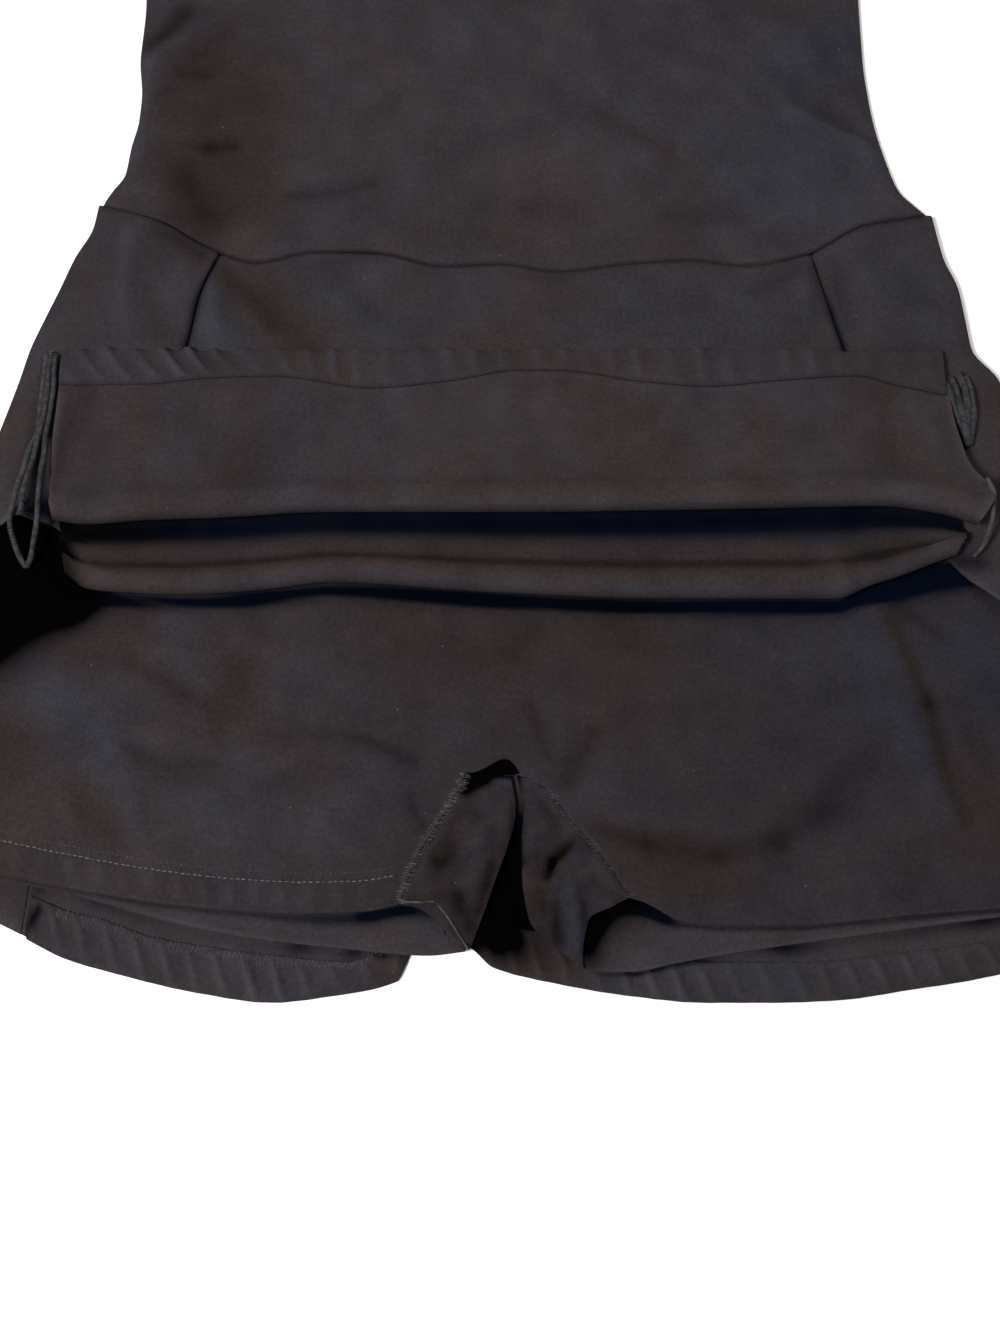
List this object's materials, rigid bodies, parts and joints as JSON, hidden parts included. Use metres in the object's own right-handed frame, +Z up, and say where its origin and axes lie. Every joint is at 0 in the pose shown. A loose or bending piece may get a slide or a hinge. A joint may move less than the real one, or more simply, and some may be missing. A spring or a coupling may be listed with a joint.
{
  "type": "tennis dress",
  "caption": "Sleeveless drop-waist knit tennis dress with built-in shorts, lying flat with its front skirt folded up.",
  "frame": {"origin": "centre of the footprint on the surface that the dress lies on", "axes": "+X towards the right of the picture, +Y along the dress from hem to neck, +Z up from the surface"},
  "size_m": [0.5628, 0.859, 0.022],
  "materials": {
    "knit_outside": "matte jersey, worn and faded",
    "knit_inside": "matte jersey, wrong side",
    "stitched_edge": "overlocked edge, pale thread"
  },
  "bodies": {
    "root": {"bodice_front": "knit_outside", "bodice_back": "knit_inside", "skirt_front": "knit_inside", "skirt_front_hem": "knit_inside", "skirt_side_left": "knit_outside", "skirt_side_right": "knit_outside", "skirt_back": "knit_inside", "skirt_back_hem": "knit_inside", "seam_allowance_left": "stitched_edge", "seam_allowance_right": "stitched_edge", "shorts_front": "knit_outside", "shorts_back": "knit_inside", "gusset_left": "knit_inside", "gusset_right": "knit_inside"}
  },
  "joints": []
}
